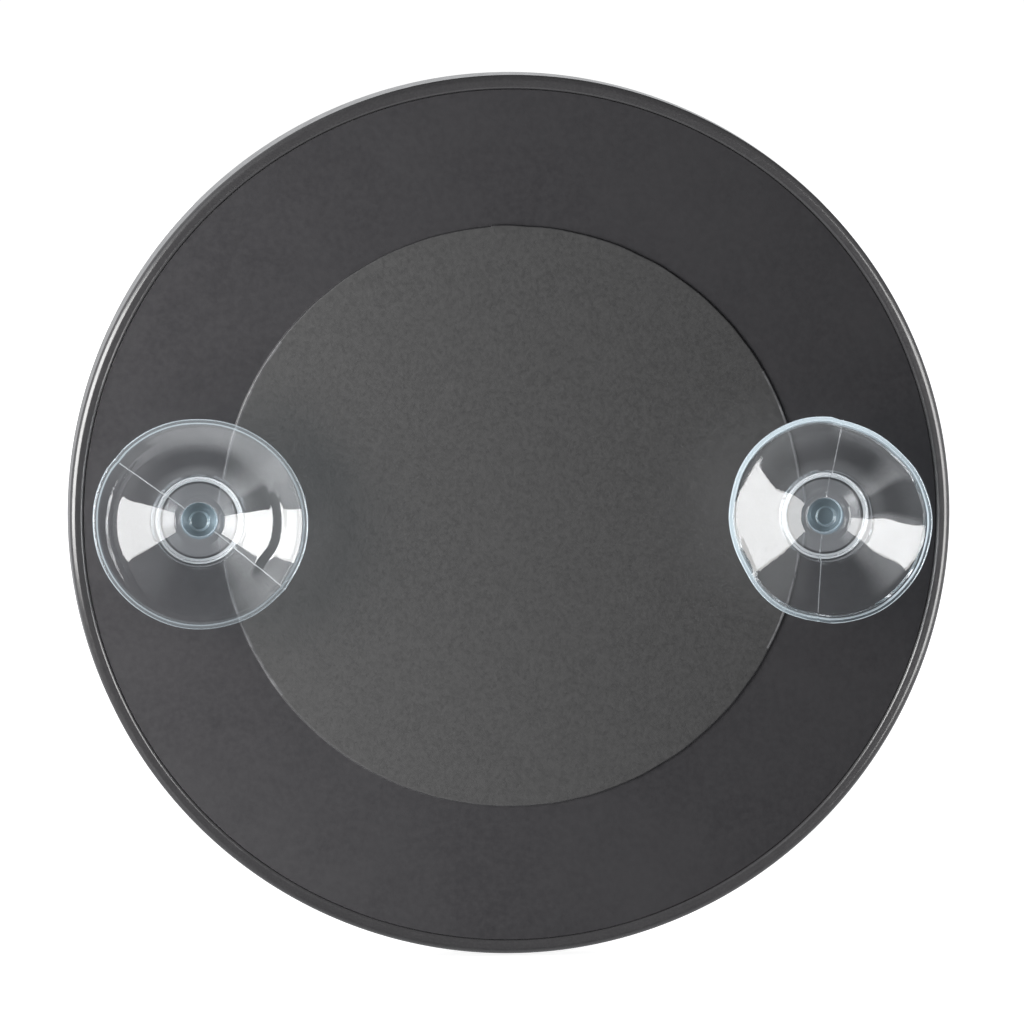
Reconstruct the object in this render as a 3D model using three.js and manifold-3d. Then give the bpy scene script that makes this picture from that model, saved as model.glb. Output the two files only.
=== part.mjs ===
// Round magnifying mirror that hangs on a smooth wall by two suction cups.
// Millimetres. +Z up, the mirror faces -Y, the wall is the plane y = 0 and the cups' lips lie in it.
// The origin is midway between the two cups, on the wall.
// "left" and "right" are as seen from behind, so left is at +X.

import * as THREE from 'three';
import { mergeVertices } from 'three/addons/utils/BufferGeometryUtils.js';
import Module from 'manifold-3d';

const wasm = await Module();
wasm.setup();

// ---- driving dimensions ----
const SEGMENTS = 64;               // facets round the big rings
const CUP_SEGMENTS = 36;           // facets round a cup

// rear cover
const ANNULUS_Y = -13.0;           // smooth outer field of the cover's back
const DISC_Y = -12.5;              // raised textured field
const DISC_R = 56.8;               // radius at the foot of the raised field's edge
const COVER_R = 82.85;             // outer radius of the cover
const COVER_INNER_Y = -15.0;       // inside face of the cover
const WALL_INNER_R = 79.6;         // inner radius of the cover's rim wall
const WALL_END_Y = -19.4;          // front end of that wall, where the foam sits
const HOLE_R = 3.6;                // hole for a cup's neck
const STEM_X = 60.85;              // stems lie on the horizontal diameter

// snap bead on the cover and its groove in the bezel
const BEAD_R = 83.25;
const BEAD_Y = -17.4;
const GROOVE_R = 83.6;

// front bezel
const BEZEL_BORE_R = 83.15;        // clearance bore round the cover
const RIM_Y = -12.4;               // top of the raised rim round the back
const BEZEL_REAR_R = 85.8;         // outer radius at the back
const BEZEL_FRONT_R = 86.4;        // widest radius, near the front
const CORNER_R = 1.5;              // rounded outer corner at the back
const LIP_INNER_R = 79.0;          // visible radius of the mirror
const LIP_BACK_Y = -24.2;          // inside face of the front lip
const FRONT_Y = -26.2;             // frontmost plane of the bezel

// concave glass
const GLASS_R = 81.6;
const GLASS_T = 2.0;
const GLASS_EDGE_Y = -23.9;        // front surface at the edge
const GLASS_CURVE_R = 600;         // radius of curvature

// foam ring
const FOAM_INNER_R = 79.8;
const FOAM_OUTER_R = 81.8;
const FOAM_REAR_Y = -19.7;
const FOAM_FRONT_Y = -21.4;

// suction cups
const LEFT_LIP_R = 20.5;           // the same 40 mm moulding, flared a little more
const RIGHT_LIP_R = 19.8;
const HUB_R = 9.0;                 // shoulder that bears on the cover
const HUB_BASE_Y = -12.2;
const NECK_R = 3.3;
const NECK_END_Y = -15.3;
const HEAD_R = 4.9;
const HEAD_TIP_Y = -18.0;

// ---- helpers ----
const P = (r, y) => new THREE.Vector2(r, y);

// points of a circular arc in the (radius, y) plane, angles in degrees
function arc(cr, cy, radius, from, to, steps) {
  const points = [];
  for (let i = 0; i <= steps; i++) {
    const a = THREE.MathUtils.degToRad(from + (to - from) * i / steps);
    points.push(P(cr + radius * Math.cos(a), cy + radius * Math.sin(a)));
  }
  return points;
}

// a closed solid of revolution about Y, its vertices shared and its collapsed triangles dropped
function turned(profile, segments) {
  const lathe = new THREE.LatheGeometry(profile, segments);
  lathe.deleteAttribute('normal');
  lathe.deleteAttribute('uv');
  const merged = mergeVertices(lathe, 1e-4);
  const p = merged.getAttribute('position');
  const old = merged.getIndex().array;
  const index = [];
  let volume = 0;
  const a = new THREE.Vector3(), b = new THREE.Vector3(), c = new THREE.Vector3();
  for (let i = 0; i < old.length; i += 3) {
    const [u, v, w] = [old[i], old[i + 1], old[i + 2]];
    if (u === v || v === w || w === u) continue;
    a.fromBufferAttribute(p, u);
    b.fromBufferAttribute(p, v);
    c.fromBufferAttribute(p, w);
    volume += a.dot(b.clone().cross(c)) / 6;
    index.push(u, v, w);
  }
  if (volume < 0) {
    for (let i = 0; i < index.length; i += 3) {
      [index[i + 1], index[i + 2]] = [index[i + 2], index[i + 1]];
    }
  }
  merged.setIndex(index);
  return merged;
}

function toSolid(geometry) {
  return new wasm.Manifold(new wasm.Mesh({
    numProp: 3,
    vertProperties: new Float32Array(geometry.getAttribute('position').array),
    triVerts: new Uint32Array(geometry.getIndex().array),
  }));
}

function toGeometry(solid) {
  const mesh = solid.getMesh();
  const positions = new Float32Array(mesh.numVert * 3);
  for (let i = 0; i < mesh.numVert; i++) {
    for (let k = 0; k < 3; k++) {
      positions[3 * i + k] = mesh.vertProperties[i * mesh.numProp + k];
    }
  }
  const geometry = new THREE.BufferGeometry();
  geometry.setAttribute('position', new THREE.BufferAttribute(positions, 3));
  geometry.setIndex(new THREE.BufferAttribute(new Uint32Array(mesh.triVerts), 1));
  return geometry;
}

function piece(name, geometry, color, roughness, metalness, extra = {}) {
  geometry.computeVertexNormals();
  const material = new THREE.MeshStandardMaterial({
    color, roughness, metalness, flatShading: true, ...extra,
  });
  const mesh = new THREE.Mesh(geometry, material);
  mesh.name = name;
  return mesh;
}

// ---- rear cover: plate, raised round field, rim wall with a snap bead, two holes ----
const coverProfile = [
  P(0, COVER_INNER_Y),
  P(WALL_INNER_R, COVER_INNER_Y),
  P(WALL_INNER_R, WALL_END_Y),
  P(COVER_R - 0.6, WALL_END_Y),
  P(COVER_R, WALL_END_Y + 0.6),
  P(COVER_R, BEAD_Y - 0.6),
  P(BEAD_R, BEAD_Y - 0.2),
  P(BEAD_R, BEAD_Y + 0.2),
  P(COVER_R, BEAD_Y + 0.6),
  P(COVER_R, ANNULUS_Y - 0.25),
  P(COVER_R - 0.25, ANNULUS_Y),
  P(DISC_R, ANNULUS_Y),
  P(DISC_R - 0.15, DISC_Y - 0.1),
  P(DISC_R - 0.35, DISC_Y),
  P(0, DISC_Y),
];
let cover = toSolid(turned(coverProfile, SEGMENTS));
for (const side of [1, -1]) {
  const drill = new THREE.CylinderGeometry(HOLE_R, HOLE_R, 8, 32);
  drill.translate(side * STEM_X, (COVER_INNER_Y + ANNULUS_Y) / 2, 0);
  drill.deleteAttribute('normal');
  drill.deleteAttribute('uv');
  cover = cover.subtract(toSolid(mergeVertices(drill, 1e-4)));
}
const rearCover = piece('rear_cover', toGeometry(cover), 0x2b2b2d, 0.5, 0.0);

// ---- front bezel: rounded rim at the back, tapered wall, snap groove, front lip ----
const bezelProfile = [
  P(BEZEL_BORE_R, RIM_Y - 0.3),
  P(BEZEL_BORE_R, BEAD_Y + 1.1),
  P(GROOVE_R, BEAD_Y + 0.7),
  P(GROOVE_R, BEAD_Y - 0.7),
  P(BEZEL_BORE_R, BEAD_Y - 1.1),
  P(BEZEL_BORE_R, LIP_BACK_Y),
  P(LIP_INNER_R + 0.3, LIP_BACK_Y),
  P(LIP_INNER_R, LIP_BACK_Y - 0.4),
  P(LIP_INNER_R + 0.35, LIP_BACK_Y - 1.1),
  P(LIP_INNER_R + 1.4, FRONT_Y + 0.35),
  P(LIP_INNER_R + 2.8, FRONT_Y),
  P(LIP_INNER_R + 4.0, FRONT_Y + 0.1),
  P(BEZEL_FRONT_R - 1.5, FRONT_Y + 0.85),
  P(BEZEL_FRONT_R - 0.4, FRONT_Y + 2.1),
  P(BEZEL_FRONT_R, FRONT_Y + 3.7),
  ...arc(BEZEL_REAR_R - CORNER_R, RIM_Y - CORNER_R, CORNER_R, 0, 90, 5),
  P(BEZEL_BORE_R + 0.3, RIM_Y),
  P(BEZEL_BORE_R, RIM_Y - 0.3),
];
const frontBezel = piece('front_bezel', turned(bezelProfile, SEGMENTS), 0x232325, 0.3, 0.0);

// ---- concave glass ----
const sag = (r) => GLASS_CURVE_R - Math.sqrt(GLASS_CURVE_R ** 2 - r ** 2);
const glassFront = (r) => GLASS_EDGE_Y + sag(GLASS_R) - sag(r);
const RINGS = 5;
const glassProfile = [];
for (let i = 0; i <= RINGS; i++) {
  const r = GLASS_R * i / RINGS;
  glassProfile.push(P(r, glassFront(r)));
}
for (let i = RINGS; i >= 0; i--) {
  const r = GLASS_R * i / RINGS;
  glassProfile.push(P(r, glassFront(r) + GLASS_T));
}
const mirrorGlass = piece('mirror_glass', turned(glassProfile, SEGMENTS), 0xdfe3e6, 0.04, 1.0);

// ---- foam ring ----
const foamProfile = [
  P(FOAM_INNER_R, FOAM_FRONT_Y),
  P(FOAM_OUTER_R, FOAM_FRONT_Y),
  P(FOAM_OUTER_R, FOAM_REAR_Y),
  P(FOAM_INNER_R, FOAM_REAR_Y),
  P(FOAM_INNER_R, FOAM_FRONT_Y),
];
const foamRing = piece('foam_ring', turned(foamProfile, SEGMENTS), 0x1a1a1a, 0.95, 0.0);

// ---- suction cup: dished lip, thick hub, neck through the cover, mushroom head behind it ----
function suctionCup(name, x, lipR) {
  const flare = lipR - 20;         // the dish opens or closes outside the hub
  const open = (r) => r + flare * Math.max(0, (r - 9) / 11);
  const profile = [
    // hollow side, from the middle out
    P(0, -8.7),
    P(1.5, -8.7),
    P(1.9, -8.3),
    P(4.5, -8.0),
    P(7.0, -6.75),
    P(open(10.0), -5.25),
    P(open(13.0), -3.76),
    P(open(16.0), -2.27),
    P(open(18.0), -1.1),
    P(open(19.0), 0),
    // lip
    P(lipR, 0),
    P(lipR + 0.05, -0.4),
    // back of the dish, from the lip in
    P(open(18.6), -1.75),
    P(open(16.0), -3.35),
    P(open(13.0), -5.05),
    P(open(10.6), -6.55),
    P(HUB_R + 0.3, -7.1),
    P(HUB_R, -7.4),
    P(HUB_R, HUB_BASE_Y + 0.95),
    P(HUB_R - 0.28, HUB_BASE_Y + 0.28),
    P(HUB_R - 0.95, HUB_BASE_Y),
    P(NECK_R + 0.2, HUB_BASE_Y),
    P(NECK_R, HUB_BASE_Y - 0.2),
    P(NECK_R, NECK_END_Y),
    P(HEAD_R, NECK_END_Y),
    P(HEAD_R, NECK_END_Y - 0.8),
    P(HEAD_R - 1.0, HEAD_TIP_Y + 0.75),
    P(HEAD_R - 2.6, HEAD_TIP_Y),
    P(0, HEAD_TIP_Y),
  ];
  const mesh = piece(name, turned(profile, CUP_SEGMENTS), 0xdfe9ec, 0.08, 0.0,
    { transparent: true, opacity: 0.35 });
  mesh.position.x = x;
  return mesh;
}
const cupLeft = suctionCup('suction_cup_left', STEM_X, LEFT_LIP_R);
const cupRight = suctionCup('suction_cup_right', -STEM_X, RIGHT_LIP_R);

// ---- assembly ----
const group = new THREE.Group();
group.add(rearCover, frontBezel, mirrorGlass, foamRing, cupLeft, cupRight);

export default group;
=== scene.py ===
import math

import bpy
import bmesh
import numpy as np
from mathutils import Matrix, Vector


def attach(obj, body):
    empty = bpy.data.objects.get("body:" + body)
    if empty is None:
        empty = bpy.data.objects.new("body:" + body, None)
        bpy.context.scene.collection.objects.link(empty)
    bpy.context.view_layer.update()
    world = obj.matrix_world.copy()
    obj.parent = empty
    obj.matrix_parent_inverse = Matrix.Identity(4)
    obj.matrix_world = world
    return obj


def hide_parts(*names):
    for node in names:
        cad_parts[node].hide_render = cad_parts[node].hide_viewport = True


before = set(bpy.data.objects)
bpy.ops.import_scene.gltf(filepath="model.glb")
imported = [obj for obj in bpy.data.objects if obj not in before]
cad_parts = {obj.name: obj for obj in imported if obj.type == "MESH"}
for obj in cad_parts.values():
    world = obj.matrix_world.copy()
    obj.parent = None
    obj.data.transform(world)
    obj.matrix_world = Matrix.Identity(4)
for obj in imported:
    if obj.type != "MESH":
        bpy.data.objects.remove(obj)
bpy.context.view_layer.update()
MM = 0.001

# ------------------------------------------------------------------ camera
# Behind the mirror, a little to its left and above, as in the photograph.
AZIMUTH, ELEVATION, DISTANCE = 175.95, 5.1, 1.150
TARGET = Vector((0.0, -0.013, 0.001))
LENS = 207.8

a, e = math.radians(AZIMUTH), math.radians(ELEVATION)
back = Vector((math.sin(a) * math.cos(e), -math.cos(a) * math.cos(e), math.sin(e)))
cam_data = bpy.data.cameras.new("camera")
cam_data.sensor_width = 36.0
cam_data.lens = LENS
cam_data.clip_start, cam_data.clip_end = 0.05, 20.0
camera = bpy.data.objects.new("camera", cam_data)
bpy.context.scene.collection.objects.link(camera)
camera.location = TARGET + back * DISTANCE
camera.rotation_mode = "QUATERNION"
camera.rotation_quaternion = (-back).to_track_quat("-Z", "Y")
bpy.context.scene.camera = camera

# ------------------------------------------------------------------ dimensions, mm
STEM_X = 60.85                     # the cups' stems on the horizontal diameter
ANNULUS_Y, DISC_Y = -13.0, -12.5   # outer field and raised textured field of the cover
DISC_R = 56.8
COVER_R = 83.05
BEZEL_BORE_R = 83.12
RIM_Y = -12.4
BEZEL_REAR_R, BEZEL_FRONT_R = 85.8, 86.3
CORNER_R = 1.5
LIP_INNER_R = 79.0
FRONT_Y = -26.2
HOLE_R = 3.6
LIP_NOMINAL_R = 20.5


# ------------------------------------------------------------------ mesh helpers
def rounded(points, closed=False, hold=0.06, turn=12.0):
    """A profile of (r, y) or (r, y, fillet) with its corners rounded by true arcs, and a point near each end of the
    long straights, so that smooth shading stays in the arcs."""
    n = len(points)
    out = []
    for i, p in enumerate(points):
        fillet = p[2] if len(p) > 2 else 0.0
        if fillet <= 0 or (not closed and i in (0, n - 1)):
            out.append((p[0], p[1]))
            continue
        before = np.array(points[i - 1][:2], float)
        corner = np.array(p[:2], float)
        after = np.array(points[(i + 1) % n][:2], float)
        u, v = before - corner, after - corner
        lu, lv = np.linalg.norm(u), np.linalg.norm(v)
        u, v = u / lu, v / lv
        between = math.acos(max(-1.0, min(1.0, float(u @ v))))
        if between > math.radians(179.5):
            out.append((p[0], p[1]))
            continue
        reach = min(fillet / math.tan(between / 2), 0.48 * lu, 0.48 * lv)
        radius = reach * math.tan(between / 2)
        middle = u + v
        middle = middle / np.linalg.norm(middle)
        centre = corner + middle * radius / math.sin(between / 2)
        s, t = corner + u * reach - centre, corner + v * reach - centre
        a0, a1 = math.atan2(s[1], s[0]), math.atan2(t[1], t[0])
        swing = (a1 - a0 + math.pi) % (2 * math.pi) - math.pi
        steps = max(2, math.ceil(abs(swing) / math.radians(turn)))
        for k in range(steps + 1):
            w = a0 + swing * k / steps
            out.append((float(centre[0] + radius * math.cos(w)), float(centre[1] + radius * math.sin(w))))
    held = []
    m = len(out)
    for i in range(m if closed else m - 1):
        p, q = np.array(out[i], float), np.array(out[(i + 1) % m], float)
        held.append(tuple(out[i]))
        length = np.linalg.norm(q - p)
        if length > 8 * hold:
            d = (q - p) / length
            for w in (hold, length - hold):
                held.append(tuple((p + d * w).tolist()))
    if not closed:
        held.append(tuple(out[-1]))
    return held


def lathe(name, profile, angles, place=None, closed=False, centre=(0.0, 0.0)):
    """A mesh object turned about the Y axis through centre (x, z). Angles run from +X towards +Z. place may move a point."""
    if place is None:
        def place(r, y, i, t):
            return r, y, t
    verts, rings = [], []
    for i, (r, y) in enumerate(profile):
        if r < 1e-6:
            rings.append([len(verts)])
            verts.append((centre[0] * MM, y * MM, centre[1] * MM))
            continue
        rings.append(list(range(len(verts), len(verts) + len(angles))))
        for t in angles:
            rr, yy, tt = place(r, y, i, t)
            verts.append(((centre[0] + rr * math.cos(tt)) * MM, yy * MM, (centre[1] + rr * math.sin(tt)) * MM))
    faces = []
    n = len(angles)
    for a_ring, b_ring in list(zip(rings, rings[1:])) + ([(rings[-1], rings[0])] if closed else []):
        if len(a_ring) == 1 and len(b_ring) == 1:
            continue
        for k in range(n):
            k2 = (k + 1) % n
            if len(a_ring) == 1:
                faces.append((a_ring[0], b_ring[k], b_ring[k2]))
            elif len(b_ring) == 1:
                faces.append((a_ring[k], b_ring[0], a_ring[k2]))
            else:
                faces.append((a_ring[k], b_ring[k], b_ring[k2], a_ring[k2]))
    mesh = bpy.data.meshes.new(name)
    mesh.from_pydata(verts, [], faces)
    bm = bmesh.new()
    bm.from_mesh(mesh)
    if bm.calc_volume(signed=True) < 0:
        bmesh.ops.reverse_faces(bm, faces=bm.faces[:])
    bm.to_mesh(mesh)
    bm.free()
    mesh.update()
    obj = bpy.data.objects.new(name, mesh)
    bpy.context.scene.collection.objects.link(obj)
    return obj


def shade(obj, angle=32.0):
    for p in obj.data.polygons:
        p.use_smooth = True
    obj.data.set_sharp_from_angle(angle=math.radians(angle))


def cut(obj, cutter):
    """Subtracts cutter from obj and removes cutter."""
    mod = obj.modifiers.new("cut", "BOOLEAN")
    mod.operation, mod.solver, mod.object = "DIFFERENCE", "EXACT", cutter
    dg = bpy.context.evaluated_depsgraph_get()
    dg.update()
    made = bpy.data.meshes.new_from_object(obj.evaluated_get(dg))
    obj.modifiers.clear()
    obj.data = made
    bpy.data.objects.remove(cutter)


def spread(count, extra=(), free=()):
    """count even angles in radians, without those inside the free spans (middle, half width), with the extra ones."""
    out = []
    for k in range(count):
        t = 2 * math.pi * k / count
        if any(abs((t - m + math.pi) % (2 * math.pi) - math.pi) < w for m, w in free):
            continue
        out.append(t)
    out += [x % (2 * math.pi) for x in extra]
    out.sort()
    return out


def periodic(table):
    """A smooth function of the angle in degrees through (angle, value) pairs, by a Catmull-Rom curve."""
    table = sorted(table)
    angles = [x for x, _ in table]
    values = [v for _, v in table]
    n = len(table)

    def f(deg):
        deg %= 360.0
        k = max(i for i in range(-1, n) if i < 0 or angles[i] <= deg)
        i1, i2 = k % n, (k + 1) % n
        x1 = angles[k] if k >= 0 else angles[-1] - 360
        x2 = angles[i2] + (360 if k + 1 >= n else 0)
        if k < 0:
            x2 = angles[0]
        w = (deg - x1) / (x2 - x1)
        p0, p1, p2, p3 = values[(i1 - 1) % n], values[i1], values[i2], values[(i2 + 1) % n]
        return 0.5 * ((2 * p1) + (-p0 + p2) * w + (2 * p0 - 5 * p1 + 4 * p2 - p3) * w * w + (-p0 + 3 * p1 - 3 * p2 + p3) * w ** 3)

    return f


# ------------------------------------------------------------------ material helpers
class Nodes:
    def __init__(self, name):
        self.material = bpy.data.materials.new(name)
        self.material.use_nodes = True
        self.tree = self.material.node_tree
        self.tree.nodes.clear()
        self.out = self.add("ShaderNodeOutputMaterial")

    def add(self, kind, **props):
        node = self.tree.nodes.new(kind)
        for k, v in props.items():
            setattr(node, k, v)
        return node

    def link(self, a_socket, b_socket):
        self.tree.links.new(a_socket, b_socket)

    def principled(self, base, roughness, **inputs):
        node = self.add("ShaderNodeBsdfPrincipled")
        node.inputs["Base Color"].default_value = (*base, 1.0)
        node.inputs["Roughness"].default_value = roughness
        for k, v in inputs.items():
            node.inputs[k.replace("_", " ")].default_value = v
        return node

    def coords(self):
        return self.add("ShaderNodeTexCoord").outputs["Object"]

    def noise(self, vector, scale, detail=2.0, roughness=0.5):
        node = self.add("ShaderNodeTexNoise")
        node.inputs["Scale"].default_value = scale
        node.inputs["Detail"].default_value = detail
        node.inputs["Roughness"].default_value = roughness
        self.link(vector, node.inputs["Vector"])
        return node.outputs["Fac"]

    def remap(self, value, from_low, from_high, to_low, to_high):
        node = self.add("ShaderNodeMapRange")
        node.inputs["From Min"].default_value = from_low
        node.inputs["From Max"].default_value = from_high
        node.inputs["To Min"].default_value = to_low
        node.inputs["To Max"].default_value = to_high
        self.link(value, node.inputs["Value"])
        return node.outputs["Result"]

    def math(self, operation, a_value, b_value):
        node = self.add("ShaderNodeMath", operation=operation)
        for k, v in enumerate((a_value, b_value)):
            if isinstance(v, (int, float)):
                node.inputs[k].default_value = v
            else:
                self.link(v, node.inputs[k])
        return node.outputs[0]

    def mix(self, factor, a_colour, b_colour):
        node = self.add("ShaderNodeMix", data_type="RGBA")
        if isinstance(factor, (int, float)):
            node.inputs["Factor"].default_value = factor
        else:
            self.link(factor, node.inputs["Factor"])
        for name, v in (("A", a_colour), ("B", b_colour)):
            socket = [s for s in node.inputs if s.name == name and s.type == "RGBA"][0]
            if isinstance(v, tuple):
                socket.default_value = (*v, 1.0)
            else:
                self.link(v, socket)
        return [s for s in node.outputs if s.type == "RGBA"][0]

    def bump(self, height, strength, distance, normal=None):
        node = self.add("ShaderNodeBump")
        node.inputs["Strength"].default_value = strength
        node.inputs["Distance"].default_value = distance
        self.link(height, node.inputs["Height"])
        if normal is not None:
            self.link(normal, node.inputs["Normal"])
        return node.outputs["Normal"]


def satin_plastic():
    """The cover's smooth outer field: black ABS from a lightly blasted mould."""
    m = Nodes("cover_satin")
    p = m.principled((0.0285, 0.0278, 0.0299), 0.30)
    c = m.coords()
    cloud = m.noise(c, 45.0, 3.0, 0.55)
    fine = m.noise(c, 950.0, 3.0, 0.6)
    tone = m.remap(cloud, 0.3, 0.7, 0.0, 1.0)
    base = m.mix(tone, (0.0245, 0.0238, 0.0260), (0.0293, 0.0286, 0.0308))
    grain = m.remap(fine, 0.3, 0.7, 0.0, 1.0)
    m.link(m.mix(grain, base, (0.0328, 0.0320, 0.0343)), p.inputs["Base Color"])
    m.link(m.math("ADD", m.remap(cloud, 0.3, 0.7, 0.29, 0.33), m.remap(fine, 0.3, 0.7, -0.015, 0.015)), p.inputs["Roughness"])
    m.link(m.bump(fine, 0.13, 0.00003), p.inputs["Normal"])
    m.link(p.outputs[0], m.out.inputs["Surface"])
    return m.material


def textured_plastic():
    """The cover's raised field: the same ABS with a spark-eroded texture."""
    m = Nodes("cover_texture")
    p = m.principled((0.0240, 0.0238, 0.0244), 0.54, IOR=1.62)
    c = m.coords()
    grit = m.noise(c, 1250.0, 3.0, 0.6)
    pits = m.add("ShaderNodeTexVoronoi", feature="SMOOTH_F1")
    pits.inputs["Scale"].default_value = 1700.0
    pits.inputs["Smoothness"].default_value = 0.6
    m.link(c, pits.inputs["Vector"])
    cloud = m.noise(c, 60.0, 3.0, 0.55)
    speck = m.remap(grit, 0.32, 0.68, 0.0, 1.0)
    base = m.mix(speck, (0.0204, 0.0203, 0.0208), (0.0282, 0.0280, 0.0285))
    wide = m.remap(cloud, 0.3, 0.7, 0.0, 1.0)
    m.link(m.mix(m.math("MULTIPLY", wide, 0.35), base, (0.0252, 0.0250, 0.0255)), p.inputs["Base Color"])
    m.link(m.remap(grit, 0.3, 0.7, 0.49, 0.59), p.inputs["Roughness"])
    height = m.math("ADD", m.math("MULTIPLY", grit, 0.7), m.math("MULTIPLY", pits.outputs["Distance"], 0.3))
    m.link(m.bump(height, 0.47, 0.00006), p.inputs["Normal"])
    m.link(p.outputs[0], m.out.inputs["Surface"])
    return m.material


def painted_shade_foot():
    """The same ABS in the narrow angle at the upper foot of the raised field, made near-black as painted shade."""
    m = Nodes("cover_foot_painted_shade")
    p = m.principled((0.008, 0.008, 0.009), 0.75)
    c = m.coords()
    fine = m.noise(c, 950.0, 3.0, 0.6)
    m.link(m.mix(m.remap(fine, 0.3, 0.7, 0.0, 1.0), (0.006, 0.006, 0.007), (0.011, 0.011, 0.012)), p.inputs["Base Color"])
    m.link(p.outputs[0], m.out.inputs["Surface"])
    return m.material


def painted_light_edge(name, low, high):
    """The same ABS made pale on the rounded edge of the raised field beside the cups: painted light, standing in for
    the light the cups focus onto that edge.
    """
    m = Nodes(name)
    p = m.principled(low, 0.28)
    c = m.coords()
    light_patches = m.noise(c, 260.0, 3.0, 0.6)
    m.link(m.mix(m.remap(light_patches, 0.35, 0.62, 0.0, 1.0), low, high), p.inputs["Base Color"])
    m.link(m.remap(light_patches, 0.3, 0.7, 0.26, 0.34), p.inputs["Roughness"])
    m.link(p.outputs[0], m.out.inputs["Surface"])
    return m.material


def gloss_plastic():
    """The bezel: the same black with a polished mould's sheen and a trace of orange peel."""
    m = Nodes("bezel_gloss")
    p = m.principled((0.0265, 0.0260, 0.0272), 0.22)
    c = m.coords()
    peel = m.noise(c, 420.0, 2.0, 0.5)
    dust = m.noise(c, 3000.0, 2.0, 0.6)
    m.link(m.mix(m.remap(dust, 0.4, 0.7, 0.0, 1.0), (0.0235, 0.0230, 0.0243), (0.0300, 0.0295, 0.0307)), p.inputs["Base Color"])
    m.link(m.remap(peel, 0.3, 0.7, 0.19, 0.26), p.inputs["Roughness"])
    m.link(m.bump(peel, 0.05, 0.0002), p.inputs["Normal"])
    m.link(p.outputs[0], m.out.inputs["Surface"])
    return m.material


def clear_pvc(name, transmission, roughness, tint, lamp_through, milk_and_painted_light=None, milk_and_light_bands=()):
    """Soft clear PVC: glossy, a little milky and faintly blue where it is thick. Lamps shine through it.
    milk = (x, z, direction, low, high): how milky it is at the far and the near side in that direction, degrees, about
    (x, z); an even share is the PVC's own milkiness, a rise towards the near side is painted light.
    bands = (from, full, fading, gone, direction, low, high): rings about that point, mm, that are milkier still towards
    that direction, as painted light."""
    m = Nodes(name)
    p = m.principled((*tint,), roughness, IOR=1.53, Transmission_Weight=transmission)
    c = m.coords()
    ripple = m.noise(c, 70.0, 1.0, 0.4)
    m.link(m.bump(ripple, 0.03, 0.0004), p.inputs["Normal"])
    cloud = m.noise(c, 160.0, 3.0, 0.6)
    m.link(m.mix(m.remap(cloud, 0.3, 0.7, 0.0, 1.0), tuple(v * 0.94 for v in tint), tint), p.inputs["Base Color"])
    body = p.outputs[0]
    if milk_and_painted_light is not None:
        x, z, direction, low, high = milk_and_painted_light
        along = m.add("ShaderNodeVectorMath", operation="DOT_PRODUCT")
        offset = m.add("ShaderNodeVectorMath", operation="SUBTRACT")
        m.link(c, offset.inputs[0])
        offset.inputs[1].default_value = (x * MM, 0.0, z * MM)
        m.link(offset.outputs[0], along.inputs[0])
        along.inputs[1].default_value = (math.cos(math.radians(direction)), 0.0, math.sin(math.radians(direction)))
        # painted light where low and high differ: the milky share rises towards the given side
        share = m.remap(along.outputs["Value"], -0.017, 0.010, low, high)
        if milk_and_light_bands:
            flat = m.add("ShaderNodeVectorMath", operation="MULTIPLY")
            m.link(offset.outputs[0], flat.inputs[0])
            flat.inputs[1].default_value = (1.0, 0.0, 1.0)
            away = m.add("ShaderNodeVectorMath", operation="LENGTH")
            m.link(flat.outputs[0], away.inputs[0])
            # painted light: rings of extra milky share towards each band's side
            for begin, full, fade, gone, bearing_deg, least, most in milk_and_light_bands:
                toward = m.add("ShaderNodeVectorMath", operation="DOT_PRODUCT")
                m.link(offset.outputs[0], toward.inputs[0])
                toward.inputs[1].default_value = (math.cos(math.radians(bearing_deg)), 0.0, math.sin(math.radians(bearing_deg)))
                ring = m.math("MULTIPLY", m.remap(away.outputs["Value"], begin * MM, full * MM, 0.0, 1.0),
                              m.remap(away.outputs["Value"], fade * MM, gone * MM, 1.0, 0.0))
                extra = m.math("MULTIPLY", ring, m.remap(toward.outputs["Value"], -0.010, 0.014, least, most))
                share = m.math("ADD", share, m.math("MULTIPLY", m.math("MAXIMUM", extra, 0.0), m.remap(cloud, 0.25, 0.75, 0.70, 1.30)))
        milky = m.add("ShaderNodeBsdfDiffuse")
        milky.inputs["Color"].default_value = (*tint, 1.0)
        blend = m.add("ShaderNodeMixShader")
        m.link(share, blend.inputs[0])
        m.link(body, blend.inputs[1])
        m.link(milky.outputs[0], blend.inputs[2])
        body = blend.outputs[0]
    clear = m.add("ShaderNodeBsdfTransparent")
    clear.inputs["Color"].default_value = (*lamp_through, 1.0)
    paths = m.add("ShaderNodeLightPath")
    soft = m.add("ShaderNodeMixShader")
    m.link(paths.outputs["Is Diffuse Ray"], soft.inputs[0])
    m.link(body, soft.inputs[1])
    m.link(clear.outputs[0], soft.inputs[2])
    lamp = m.add("ShaderNodeMixShader")
    m.link(paths.outputs["Is Shadow Ray"], lamp.inputs[0])
    m.link(soft.outputs[0], lamp.inputs[1])
    m.link(clear.outputs[0], lamp.inputs[2])
    m.link(lamp.outputs[0], m.out.inputs["Surface"])
    return m.material


def silvered():
    """The mirror's face."""
    m = Nodes("silvered_glass")
    p = m.principled((0.90, 0.92, 0.925), 0.015, Metallic=1.0)
    c = m.coords()
    haze = m.noise(c, 30.0, 3.0, 0.5)
    m.link(m.remap(haze, 0.3, 0.7, 0.008, 0.022), p.inputs["Roughness"])
    m.link(p.outputs[0], m.out.inputs["Surface"])
    return m.material


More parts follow.
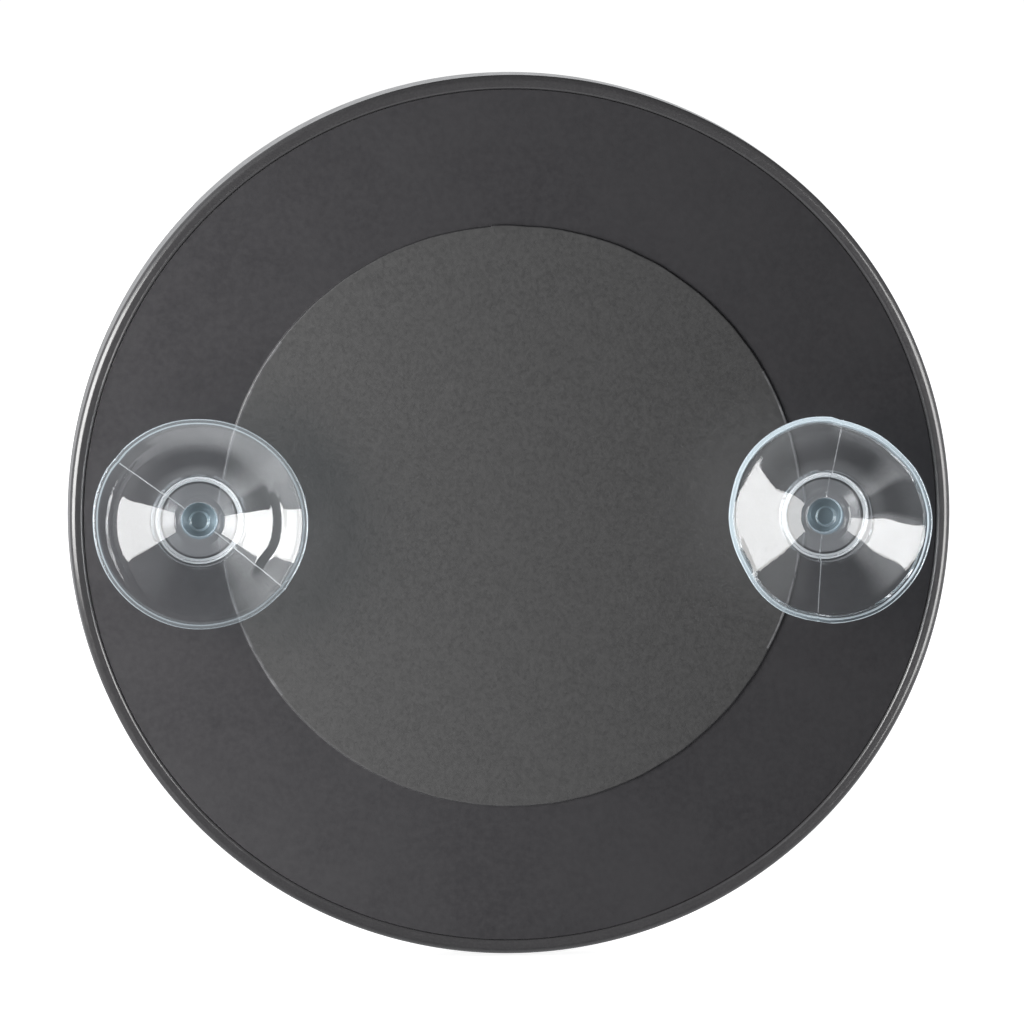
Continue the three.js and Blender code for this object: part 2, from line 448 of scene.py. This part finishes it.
def glass_edge():
    """The ground edge and the painted back of the glass."""
    m = Nodes("glass_edge")
    p = m.principled((0.16, 0.24, 0.22), 0.35)
    c = m.coords()
    ground = m.noise(c, 900.0, 2.0, 0.6)
    m.link(m.mix(m.remap(ground, 0.3, 0.7, 0.0, 1.0), (0.13, 0.20, 0.18), (0.20, 0.29, 0.26)), p.inputs["Base Color"])
    m.link(m.bump(ground, 0.3, 0.00005), p.inputs["Normal"])
    m.link(p.outputs[0], m.out.inputs["Surface"])
    return m.material


def foam():
    m = Nodes("foam")
    p = m.principled((0.020, 0.020, 0.021), 0.95)
    c = m.coords()
    cells = m.add("ShaderNodeTexVoronoi")
    cells.inputs["Scale"].default_value = 2600.0
    m.link(c, cells.inputs["Vector"])
    m.link(m.mix(m.remap(cells.outputs["Distance"], 0.0, 0.6, 0.0, 1.0), (0.012, 0.012, 0.013), (0.032, 0.032, 0.034)), p.inputs["Base Color"])
    m.link(m.bump(cells.outputs["Distance"], 0.8, 0.0002), p.inputs["Normal"])
    m.link(p.outputs[0], m.out.inputs["Surface"])
    return m.material


MAT_SATIN, MAT_TEXTURE, MAT_GLOSS = satin_plastic(), textured_plastic(), gloss_plastic()
# the cups' clear PVC: an even milky share is the PVC's own; where the share differs from side to side or rises in rings
# it is painted light, with the walls milkier in rings towards the upper side and the right parting ridge towards the
# bottom
MAT_PVC_LEFT = clear_pvc("clear_pvc_left", 0.985, 0.02, (0.955, 0.975, 1.0), (0.79, 0.81, 0.82), (STEM_X, 0.08, 0.0, 0.0, 0.0),
                         [(9.0, 9.4, 9.6, 11.6, 95.0, -0.03, 0.055), (13.6, 17.4, 25.0, 26.0, 130.0, 0.0, 0.06)])
MAT_PVC_RIGHT = clear_pvc("clear_pvc_right", 0.985, 0.02, (0.955, 0.975, 1.0), (0.79, 0.81, 0.82), (-STEM_X, 0.22, 0.0, 0.0, 0.0),
                          [(9.0, 9.4, 9.6, 12.0, 125.0, -0.03, 0.05), (14.0, 18.5, 25.0, 26.0, 120.0, 0.0, 0.03)])
MAT_PVC_HUB_EDGE = clear_pvc("clear_pvc_hub_edge", 0.95, 0.04, (0.95, 0.975, 1.0), (0.79, 0.81, 0.82), (0.0, 0.0, 0.0, 0.55, 0.55))
MAT_RIDGE_LEFT = clear_pvc("clear_pvc_parting_left", 0.95, 0.06, (0.97, 0.985, 1.0), (0.79, 0.81, 0.82), (0.0, 0.0, 0.0, 0.42, 0.42))
MAT_RIDGE_RIGHT = clear_pvc("clear_pvc_parting_right", 0.95, 0.06, (0.95, 0.975, 1.0), (0.79, 0.81, 0.82), (-STEM_X, 0.22, 277.0, 0.03, 0.34))
MAT_PVC_FOOT = clear_pvc("clear_pvc_foot", 0.84, 0.12, (0.97, 0.97, 1.0), (0.72, 0.75, 0.77))
MAT_PVC_STEM = clear_pvc("clear_pvc_stem", 0.56, 0.10, (0.80, 0.91, 0.97), (0.66, 0.73, 0.76))
MAT_PVC_WELL = clear_pvc("clear_pvc_well", 0.97, 0.03, (0.66, 0.84, 0.96), (0.70, 0.76, 0.78), (0.0, 0.0, 0.0, 0.05, 0.05))
LIP_TINT, LIP_THROUGH = (0.82, 0.93, 1.0), (0.66, 0.72, 0.75)
# painted light: each lip is milkier towards its cup's key lamp
LIP_LEFT_MATERIALS = [
    clear_pvc("clear_pvc_lip_left_edge", 0.97, 0.05, LIP_TINT, LIP_THROUGH, (STEM_X, 0.08, 35.0, 0.16, 0.34)),
    clear_pvc("clear_pvc_lip_left", 0.97, 0.05, (0.90, 0.96, 1.0), LIP_THROUGH, (STEM_X, 0.08, 35.0, 0.03, 0.06)),
]
LIP_RIGHT_MATERIALS = [
    clear_pvc("clear_pvc_lip_right_edge", 0.97, 0.05, LIP_TINT, LIP_THROUGH, (-STEM_X, 0.22, 50.0, 0.40, 0.66)),
    clear_pvc("clear_pvc_lip_right", 0.97, 0.05, LIP_TINT, LIP_THROUGH, (-STEM_X, 0.22, 50.0, 0.0, 0.36)),
]
MAT_SILVER, MAT_EDGE, MAT_FOAM = silvered(), glass_edge(), foam()


# ------------------------------------------------------------------ rear cover
def rear_cover():
    profile = rounded([
        (0, -15.0),
        (79.6, -15.0, 0.5),
        (79.6, -19.4, 0.1),
        (82.25, -19.4, 0.15),
        (82.85, -18.8, 0.2),
        (82.85, -18.0, 0.15),
        (83.25, -17.6, 0.15),
        (83.25, -17.2, 0.15),
        (82.85, -16.8, 0.15),
        (82.85, -14.6, 0.15),
        (COVER_R, -14.3, 0.15),
        (COVER_R, ANNULUS_Y, 0.06),
        (DISC_R, ANNULUS_Y, 0.10),
        (DISC_R - 0.16, DISC_Y, 0.22),
        (DISC_R - 0.58, DISC_Y),
        (0, DISC_Y),
    ])
    # the raised field's edge is hand-finished in the mould: a low step at the top and a slight unevenness all round
    step = math.radians(85.9)
    extra = [step - 0.004, step - 0.0012, step + 0.0012, step + 0.004]
    angles = spread(288, extra, [(step, 0.012)])
    rng = np.random.default_rng(7)
    waves = [(k, rng.normal(0, 0.018) / (1 + 0.04 * k), rng.uniform(0, 2 * math.pi)) for k in range(5, 60, 3)]

    def place(r, y, i, t):
        if abs(r - DISC_R) < 0.7 and y > ANNULUS_Y - 0.01:
            dr = sum(h * math.sin(k * t + p) for k, h, p in waves)
            d = math.degrees((t - step + math.pi) % (2 * math.pi) - math.pi)
            if 0 <= d < 7:
                dr += 0.20 * (1 - d / 7) * min(1.0, d / 0.08)
            r += dr
        return r, y, t

    obj = lathe("rear_cover_shell", profile, angles, place)
    for side in (1, -1):
        hole = rounded([(0, -18), (HOLE_R, -18), (HOLE_R, ANNULUS_Y - 0.2), (HOLE_R + 0.35, ANNULUS_Y + 0.12),
                        (HOLE_R + 0.6, ANNULUS_Y + 1.5), (0, ANNULUS_Y + 1.5)], hold=10)
        cut(obj, lathe("drill", hole, spread(72), centre=(side * STEM_X, 0.0)))
    obj.data.materials.clear()
    # the third material is painted shade at the raised field's foot, the last two are painted light on its edge beside
    # the cups
    for m in (MAT_SATIN, MAT_TEXTURE, painted_shade_foot(), painted_light_edge("cover_edge_painted_light_right", (0.070, 0.070, 0.073), (0.150, 0.150, 0.155)),
              painted_light_edge("cover_edge_painted_light_left", (0.045, 0.045, 0.047), (0.100, 0.100, 0.104))):
        obj.data.materials.append(m)
    for p in obj.data.polygons:
        c = p.center
        top = (DISC_Y - 0.03) * MM < c.y and math.hypot(c.x, c.z) < (DISC_R - 0.15) * MM
        p.material_index = 1 if top else 0
        foot = (ANNULUS_Y + 0.02) * MM < c.y < (DISC_Y - 0.10) * MM and (DISC_R - 0.4) * MM < math.hypot(c.x, c.z) < (DISC_R + 0.2) * MM
        bearing_deg = math.degrees(math.atan2(c.z, c.x))
        # painted shade: the upper foot of the raised field takes the near-black material
        if foot and 42 < bearing_deg < 150:
            p.material_index = 2
        edge = DISC_Y - 0.17 < c.y / MM and DISC_R - 0.60 < math.hypot(c.x, c.z) / MM < DISC_R + 0.1
        # painted light: the raised field's edge beside each cup takes a pale material
        if edge and (bearing_deg > 150 or bearing_deg < -152):
            p.material_index = 3
        elif edge and abs(bearing_deg) < 38:
            p.material_index = 4
    shade(obj)
    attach(obj, "mirror_body")
    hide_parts("rear_cover")
    return obj


# ------------------------------------------------------------------ front bezel
def front_bezel():
    profile = rounded([
        (BEZEL_BORE_R, RIM_Y, 1.05),
        (BEZEL_BORE_R, -16.3, 0.1),
        (83.6, -16.7, 0.1),
        (83.6, -18.1, 0.1),
        (BEZEL_BORE_R, -18.5, 0.1),
        (BEZEL_BORE_R, -24.2, 0.3),
        (79.3, -24.2, 0.15),
        (LIP_INNER_R, -24.6, 0.25),
        (79.35, -25.3, 0.8),
        (80.4, -25.85, 1.6),
        (82.0, FRONT_Y, 2.4),
        (83.6, FRONT_Y, 2.6),
        (85.5, -24.6, 2.6),
        (BEZEL_FRONT_R, -22.5, 2.0),
        (BEZEL_REAR_R + 0.05, -13.3, 0.7),
        (BEZEL_REAR_R - 0.25, RIM_Y - 0.36, 0.8),
        (BEZEL_REAR_R - 0.95, RIM_Y, 1.1),
    ], closed=True, turn=7)
    obj = lathe("front_bezel_ring", profile, spread(320), closed=True)
    obj.data.materials.append(MAT_GLOSS)
    shade(obj)
    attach(obj, "mirror_body")
    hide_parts("front_bezel")
    return obj


# ------------------------------------------------------------------ concave glass
def mirror_glass():
    curve_r, glass_r, thick, edge_y = 600.0, 81.6, 2.0, -23.9
    sag = lambda r: curve_r - math.sqrt(curve_r ** 2 - r ** 2)
    front = lambda r: edge_y + sag(glass_r) - sag(r)
    radii = [glass_r * k / 36 for k in range(37)]
    radii[-1] = glass_r - 0.25
    rim = [(glass_r, front(glass_r) + 0.25), (glass_r, front(glass_r) + thick - 0.25)]
    profile = [(r, front(r)) for r in radii] + rim + [(r, front(r) + thick) for r in reversed(radii)]
    obj = lathe("mirror_glass_disc", profile, spread(256))
    obj.data.materials.append(MAT_EDGE)
    obj.data.materials.append(MAT_SILVER)
    for p in obj.data.polygons:
        p.material_index = 1 if p.normal.y < -0.9 else 0
    shade(obj)
    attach(obj, "mirror_body")
    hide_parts("mirror_glass")
    return obj


# ------------------------------------------------------------------ foam ring
def foam_ring():
    profile = rounded([(79.8, -21.4, 0.35), (81.8, -21.4, 0.35), (81.8, -19.7, 0.35), (79.8, -19.7, 0.35)], closed=True, turn=22)
    obj = lathe("foam_ring_gasket", profile, spread(256), closed=True)
    obj.data.materials.append(MAT_FOAM)
    shade(obj)
    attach(obj, "mirror_body")
    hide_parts("foam_ring")
    return obj


# ------------------------------------------------------------------ suction cups
HUB_R = 9.0
HUB_BASE_Y = -12.2
CONE_R, CONE_Y = 4.5, -8.0         # foot of the dish's cone
SLOPE = math.tan(math.radians(26.5))
LIP_BAND = 0.95                    # width of the thick lip


def cup(name, node, body, x, z, parting, lip_table, kinks, bend_table, step_table, step_width, drop_table, wave, lip_materials, ridge_material, wall_material, ridge_half):
    """A cup turned about (x, z). The cone bends more steeply outside the radius in bend_table (angles as in lip_table), after
    a low step up or down in step_table, and meets the lip as far below the wall plane as drop_table says. wave(t, r) is the soft moulding's unevenness, mm."""
    lip, bend, step, drop = periodic(lip_table), periodic(bend_table), periodic(step_table), periodic(drop_table)

    def edge(t):
        target = lip(math.degrees(t))
        for at, half, depth in kinks:
            d = (math.degrees(t) - at + 180) % 360 - 180
            target -= depth * math.exp(-(d / half) ** 2)
        return target

    def dish(r, t, soft=0.35, shift=0.0):
        """Height of the hollow side at radius r and angle t."""
        end = edge(t) - LIP_BAND
        k, h = bend(math.degrees(t)) + shift, step(math.degrees(t))
        base = CONE_Y + SLOPE * (r - CONE_R)
        low = drop(math.degrees(t))
        k = min(k, end - 0.8)
        rise = -low - (CONE_Y + SLOPE * (end - CONE_R)) - h
        gain = rise / (end - k)
        over = soft * math.log1p(math.exp(min(40.0, (r - k) / soft)))
        q = min(1.0, max(0.0, (r - k + 0.2) / (step_width + 0.6 * max(0.0, -math.cos(t)) ** 2)))
        y = base + gain * over + h * (q ** 1.7 if h > 0 else q * q * (3 - 2 * q))
        f = min(1.0, max(0.0, (r - 8.0) / 4.0)) * min(1.0, max(0.0, (end - r) / 1.5))
        return min(y + wave(t, r) * f, -0.06)

    # (r, y, kind): kind 0 is taken as it stands, 1 lies on the hollow side, 2 on the back, 3 is measured from the lip's edge
    inner = rounded([(0, -8.55), (1.6, -8.55, 0.35), (2.0, -8.1, 0.25), (3.75, -8.06, 0.12), (4.0, -7.76, 0.14), (4.55, -7.72, 0.16), (4.9, CONE_Y + SLOPE * 0.4 - 0.04, 0.12), (5.6, CONE_Y + SLOPE * 1.1)], hold=0.1, turn=10)
    stations = [(r, y, 0) for r, y in inner]
    for k in range(70):
        stations.append((6.0 + (LIP_NOMINAL_R - LIP_BAND - 6.0) * k / 69, 0.0, 1))
    band = rounded([(-LIP_BAND, -0.12), (-0.66, 0.0, 0.26), (0.0, 0.0, 0.50), (0.02, -1.05, 0.48), (-1.1, -1.28)], hold=0.2, turn=14)
    stations += [(r, y, 3) for r, y in band[1:]]
    for k in range(26):
        stations.append((LIP_NOMINAL_R - 1.5 - (LIP_NOMINAL_R - 1.5 - HUB_R - 0.35) * k / 25, 0.0, 2))
    hub_top = CONE_Y + SLOPE * (HUB_R - CONE_R) - 1.22
    outer = rounded([(HUB_R + 0.34, hub_top + 0.17), (HUB_R, hub_top, 0.16), (HUB_R, HUB_BASE_Y, 0.95), (3.6, HUB_BASE_Y, 0.15), (3.3, HUB_BASE_Y - 0.3, 0.1),
                     (3.3, -15.3, 0.1), (4.9, -15.3, 0.3), (4.9, -16.1, 0.5), (3.9, -17.25, 0.8), (2.3, -18.0, 0.8), (0, -18.0)], hold=0.1, turn=9)
    stations += [(r, y, 0) for r, y in outer]
    kinds = [s[2] for s in stations]
    profile = []
    for r, y, kind in stations:
        if kind == 1:
            y = dish(r, 0.0)
        elif kind == 2:
            y = dish(r, 0.0) - 1.2
        elif kind == 3:
            r += LIP_NOMINAL_R
        profile.append((r, y))
    lip_at = kinds.index(3) + len(band) // 2
    # outward normals of the profile, for the parting ridge on the back
    pts = np.array(profile)
    tangent = np.gradient(pts, axis=0)
    tangent /= np.maximum(np.linalg.norm(tangent, axis=1), 1e-9)[:, None]
    normal = np.stack([tangent[:, 1], -tangent[:, 0]], axis=1)
    if normal[kinds.index(2) + 3][1] > 0:
        normal = -normal
    ridge_w, ridge_h = 0.115, 0.10
    columns = (-2.6, -1.0, -0.45, 0.0, 0.45, 1.0, 2.6)
    heights = {-1.0: 0.0, -0.45: 0.85, 0.0: 1.0, 0.45: 0.85, 1.0: 0.0}
    free = math.radians(6.0)
    lines = (parting, parting + math.pi)
    # each special column is coded as an angle near its line and decoded in place()
    code = {}
    extra = []
    for line in lines:
        for k, c in enumerate(columns):
            t = (line + math.radians(0.1) * (k - 3)) % (2 * math.pi)
            code[round(t, 9)] = (line, c)
            extra.append(t)
    angles = spread(216, extra, [(line % (2 * math.pi), free) for line in lines])

    def place(r, y, i, t):
        c = code.get(round(t, 9))
        h = 0.0
        if c is not None:
            line, w = c
            t = line + math.copysign(min(abs(w) * ridge_w / max(r, 0.5), free * 0.9), w)
            if i >= lip_at and r > 3.7:
                h = ridge_h * heights.get(w, 0.0)
        end = edge(t)
        kind = kinds[i]
        if kind == 3:
            rr = end + (r - LIP_NOMINAL_R)
        elif r <= 9.0:
            rr = r
        else:
            rr = 9.0 + (r - 9.0) * (end - 9.0) / (LIP_NOMINAL_R - 9.0)
        if kind == 1:
            y = dish(rr, t)
        elif kind == 2:
            far = min(1.0, max(0.0, (rr - 9.0) / (end - 1.5 - 9.0)))
            y = dish(rr, t, 0.6, 0.25) - (1.22 - 0.16 * far)
        return rr + normal[i][0] * h, min(y + normal[i][1] * h, 0.0), t

    obj = lathe(name, profile, angles, place, centre=(x, z))
    for m in (wall_material, MAT_PVC_FOOT, MAT_PVC_STEM, *lip_materials, MAT_PVC_WELL, MAT_PVC_HUB_EDGE, ridge_material):
        obj.data.materials.append(m)
    for p in obj.data.polygons:
        px, y, pz = p.center.x / MM - x, p.center.y / MM, p.center.z / MM - z
        r, t = math.hypot(px, pz), math.atan2(pz, px)
        off = min(abs((t - line + math.pi) % (2 * math.pi) - math.pi) for line in lines) * r
        if y < HUB_BASE_Y - 0.25:
            p.material_index = 2
        elif p.normal.y > 0.2 and r < 3.3 and y > -8.9:
            p.material_index = 5
        elif p.normal.y < 0.2 and 3.9 < r < edge(t) - 1.2 and off < ridge_half:
            p.material_index = 7
        elif y < HUB_BASE_Y + 0.02 and r < HUB_R - 0.9:
            p.material_index = 1
        elif HUB_BASE_Y + 0.13 < y < HUB_BASE_Y + 0.46 and HUB_R - 0.9 < r < HUB_R + 0.05:
            p.material_index = 6
        elif r > edge(t) - LIP_BAND + 0.02:
            inward = edge(t) - r
            p.material_index = 3 if inward < 0.17 or (inward > 0.66 and y > -0.6) else 4
    shade(obj, 40)
    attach(obj, body)
    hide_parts(node)
    return obj


LIP_LEFT = [(0, 20.51), (15, 20.73), (30, 20.81), (45, 20.69), (60, 20.60), (75, 20.46), (90, 20.27), (105, 20.28), (120, 20.31),
            (135, 20.42), (150, 20.57), (165, 20.71), (180, 20.72), (195, 20.69), (210, 20.50), (225, 20.41), (240, 20.36),
            (255, 20.22), (270, 20.21), (285, 20.20), (300, 20.14), (315, 20.17), (330, 20.26), (345, 20.39)]
LIP_RIGHT = [(0, 19.78), (15, 19.96), (30, 20.38), (45, 20.59), (60, 20.54), (75, 20.37), (90, 19.92), (97, 19.42), (105, 19.11),
             (120, 18.87), (135, 18.73), (150, 19.10), (165, 19.37), (180, 19.75), (195, 19.83), (210, 20.06), (225, 20.14),
             (240, 20.27), (255, 20.18), (270, 20.10), (285, 19.90), (300, 20.0), (315, 19.70), (330, 19.25), (345, 19.43)]

cover = rear_cover()
bezel = front_bezel()
mirror_glass()
foam_ring()
BEND_LEFT = [(0, 15.9), (30, 15.9), (60, 15.5), (90, 15.5), (120, 14.8), (150, 14.1), (180, 13.8), (197, 13.7), (212, 13.1), (225, 13.7), (240, 14.8),
             (270, 17.5), (300, 17.8), (315, 16.6), (330, 15.9), (345, 15.9)]
STEP_LEFT = [(0, 1.35), (20, 1.35), (40, 0.9), (60, 0.1), (75, 0.0), (90, 0.0), (120, 0.0), (145, 0.0), (153, -0.2), (162, -0.85), (170, -0.85),
             (190, -0.85), (208, -0.85), (215, -0.6), (224, -0.15), (233, 0.0), (270, 0.0), (288, 0.0), (300, 0.0), (320, 0.9), (335, 1.35)]
DROP_LEFT = [(0, 0.07), (90, 0.12), (180, 0.5), (210, 0.5), (270, 0.12)]
BEND_RIGHT = [(0, 18.4), (90, 18.4), (180, 18.4), (270, 18.4)]
STEP_RIGHT = [(0, 0.0), (90, 0.0), (180, 0.0), (270, 0.0)]
DROP_RIGHT = [(0, 0.95), (45, 0.85), (90, 0.75), (150, 1.0), (180, 1.0), (225, 0.8), (270, 0.6), (315, 0.9)]

cup_left = cup("suction_cup_left_pvc", "suction_cup_left", "left_cup", STEM_X, 0.08, math.radians(37.7), LIP_LEFT,
               [(38.5, 2.2, 0.16), (217.7, 2.5, -0.14)], BEND_LEFT, STEP_LEFT, 2.0, DROP_LEFT,
               lambda t, r: 0.03 * math.sin(3 * t + 0.7) + 0.02 * math.sin(5 * t + 0.3 * r), LIP_LEFT_MATERIALS, MAT_RIDGE_LEFT, MAT_PVC_LEFT, 0.10)
cup_right = cup("suction_cup_right_pvc", "suction_cup_right", "right_cup", -STEM_X, 0.22, math.radians(97.0), LIP_RIGHT,
                [(95.5, 2.0, 0.12), (277.0, 2.0, 0.14)], BEND_RIGHT, STEP_RIGHT, 1.5, DROP_RIGHT,
                lambda t, r: 0.05 * math.sin(2 * t - 0.4) + 0.05 * math.sin(5 * t + 0.35 * r), LIP_RIGHT_MATERIALS, MAT_RIDGE_RIGHT, MAT_PVC_RIGHT, 0.065)

# ------------------------------------------------------------------ floor
floor_mesh = bpy.data.meshes.new("floor")
floor_mesh.from_pydata([(-4, -4, -0.0864), (4, -4, -0.0864), (4, 4, -0.0864), (-4, 4, -0.0864)], [], [(0, 1, 2, 3)])
floor = bpy.data.objects.new("floor", floor_mesh)
bpy.context.scene.collection.objects.link(floor)
fm = Nodes("floor_white")
fp = fm.principled((0.92, 0.92, 0.92), 0.6)
fc = fm.coords()
fm.link(fm.mix(fm.noise(fc, 8.0, 2.0, 0.5), (0.915, 0.915, 0.915), (0.93, 0.93, 0.93)), fp.inputs["Base Color"])
fp.inputs["Emission Color"].default_value = (1.0, 1.0, 1.0, 1.0)
fp.inputs["Emission Strength"].default_value = 0.9
fm.link(fp.outputs[0], fm.out.inputs["Surface"])
floor.data.materials.append(fm.material)
# the white table lights nothing by itself: the studio all round does
floor.visible_diffuse = False
floor.visible_glossy = False
floor.visible_transmission = False
floor.visible_shadow = False


# ------------------------------------------------------------------ lights
def panel(name, centre, aim, width, height, radiance, colour=(1.0, 1.0, 1.0)):
    """A soft rectangular lamp of the given radiance."""
    data = bpy.data.lights.new(name, "AREA")
    data.shape, data.size, data.size_y = "RECTANGLE", width, height
    data.energy = radiance * math.pi * width * height
    data.color = colour
    obj = bpy.data.objects.new(name, data)
    bpy.context.scene.collection.objects.link(obj)
    obj.location = centre
    obj.rotation_mode = "QUATERNION"
    obj.rotation_quaternion = (Vector(aim) - Vector(centre)).to_track_quat("-Z", "Y")
    obj.visible_camera = False
    return obj


def only(lamp, *pieces):
    """The lamp lights these pieces only."""
    group = bpy.data.collections.new(lamp.name + "_pieces")
    for piece in pieces:
        group.objects.link(piece)
    lamp.light_linking.receiver_collection = group


def cup_lamp(name, cup_obj, x, side, polar, height, dist, half_polar, half_height, radiance):
    """A lamp seen by one cup: its middle stands polar degrees off the wall's normal and height degrees up, as seen from there."""
    p, h = math.radians(polar), math.radians(height)
    centre = (x * MM + side * dist * math.sin(p) * math.cos(h), dist * math.cos(p), dist * math.sin(p) * math.sin(h))
    lamp = panel(name, centre, (x * MM, -0.005, 0.0), 2 * dist * math.tan(math.radians(half_polar)),
                 2 * dist * math.sin(p) * math.tan(math.radians(half_height)), radiance, WARM)
    only(lamp, cup_obj)


WARM = (1.0, 0.995, 0.985)
only(panel("softbox_left", (0.30, 0.20, 0.042), (0.05, 0, 0.0), 0.21, 0.22, 19.0, WARM), cover, bezel)
only(panel("softbox_right", (-0.31, 0.27, -0.012), (-0.05, 0, 0.0), 0.26, 0.30, 13.0, WARM), bezel)
only(panel("fill_low", (0.20, 0.30, -0.25), (0.05, 0, -0.05), 0.20, 0.20, 8.0, WARM), cover)
cup_lamp("left_cup_key", cup_left, STEM_X, 1, 50, 3.2, 0.34, 16, 21.5, 11.5)
cup_lamp("left_cup_fill", cup_left, STEM_X, -1, 50, -3.2, 0.45, 12, 22.5, 8.2)
cup_lamp("right_cup_key", cup_right, -STEM_X, 1, 48, 14, 0.44, 15, 17, 8.6)
cup_lamp("right_cup_fill", cup_right, -STEM_X, -1, 55, -4.8, 0.37, 15, 30.0, 8.3)

world = bpy.data.worlds.new("studio")
bpy.context.scene.world = world
world.use_nodes = True
wt = world.node_tree
wt.nodes.clear()
out = wt.nodes.new("ShaderNodeOutputWorld")
seen = wt.nodes.new("ShaderNodeBackground")
seen.inputs["Color"].default_value = (1, 1, 1, 1)
seen.inputs["Strength"].default_value = 1.05
lit = wt.nodes.new("ShaderNodeBackground")
coord = wt.nodes.new("ShaderNodeTexCoord")
split = wt.nodes.new("ShaderNodeSeparateXYZ")
wt.links.new(coord.outputs["Generated"], split.inputs[0])
side = wt.nodes.new("ShaderNodeMapRange")
side.interpolation_type = "SMOOTHSTEP"
side.inputs["From Min"].default_value = 0.38
side.inputs["From Max"].default_value = 0.54
side.inputs["To Min"].default_value = 1.0
side.inputs["To Max"].default_value = 0.03


def smooth(value, low, high, to_low=0.0, to_high=1.0):
    n = wt.nodes.new("ShaderNodeMapRange")
    n.interpolation_type = "SMOOTHSTEP"
    for key, v in (("From Min", low), ("From Max", high), ("To Min", to_low), ("To Max", to_high)):
        n.inputs[key].default_value = v
    wt.links.new(value, n.inputs["Value"])
    return n.outputs["Result"]


def maths(kind, a, b=None):
    n = wt.nodes.new("ShaderNodeMath")
    n.operation = kind
    for k, v in enumerate((a, b)):
        if v is None:
            continue
        if isinstance(v, (int, float)):
            n.inputs[k].default_value = v
        else:
            wt.links.new(v, n.inputs[k])
    return n.outputs[0]


# a soft glow beside each lamp, between the bright horizon and the dark middle
x_out, y_out, z_out = split.outputs["X"], split.outputs["Y"], split.outputs["Z"]
across = maths("SQRT", maths("MAXIMUM", maths("SUBTRACT", 1.0, maths("MULTIPLY", y_out, y_out)), 0.0001))
bearing = maths("DIVIDE", x_out, across)
window = maths("MULTIPLY", smooth(y_out, 0.40, 0.55), smooth(y_out, 0.68, 0.84, 1.0, 0.0))
wt.links.new(maths("ADD", y_out, smooth(bearing, -0.85, -0.45, 0.10, 0.0)), side.inputs["Value"])
upward = maths("DIVIDE", z_out, across)
gap = maths("MULTIPLY", smooth(upward, -0.68, -0.56), smooth(upward, -0.20, -0.08, 1.0, 0.0))
right = maths("MULTIPLY", smooth(bearing, 0.35, 0.85, 0.0, 2.0), maths("SUBTRACT", 1.0, maths("MULTIPLY", gap, 0.9)))
glow = maths("ADD", right, smooth(bearing, -0.85, -0.35, 0.4, 0.0))
above = maths("MULTIPLY", smooth(upward, 0.05, 0.6), smooth(bearing, 0.2, 0.75, 1.0, 0.0))
above = maths("MULTIPLY", above, smooth(y_out, -0.95, -0.80))
# the room in front of the mirror: pale above, greyer towards the floor
room = maths("MULTIPLY", smooth(y_out, -0.90, -0.70, 0.5, 0.0), smooth(z_out, -0.30, 0.25, 1.0, 0.0))
horizon = maths("MULTIPLY", side.outputs["Result"], maths("SUBTRACT", 1.0, maths("MULTIPLY", above, 0.82)))
horizon = maths("MULTIPLY", horizon, maths("SUBTRACT", 1.0, room))
level = maths("ADD", horizon, maths("MULTIPLY", glow, window))
wt.links.new(level, lit.inputs["Strength"])
lit.inputs["Color"].default_value = (0.97, 0.98, 1.0, 1)
paths = wt.nodes.new("ShaderNodeLightPath")
mixer = wt.nodes.new("ShaderNodeMixShader")
wt.links.new(paths.outputs["Is Camera Ray"], mixer.inputs[0])
wt.links.new(lit.outputs[0], mixer.inputs[1])
wt.links.new(seen.outputs[0], mixer.inputs[2])
wt.links.new(mixer.outputs[0], out.inputs["Surface"])

scene = bpy.context.scene
scene.view_settings.view_transform = "Standard"
scene.view_settings.look = "None"
scene.cycles.use_denoising = True
scene.cycles.max_bounces = 14
scene.cycles.transmission_bounces = 12
scene.cycles.transparent_max_bounces = 16
scene.cycles.glossy_bounces = 6
scene.cycles.caustics_reflective = False
scene.cycles.sample_clamp_indirect = 8.0
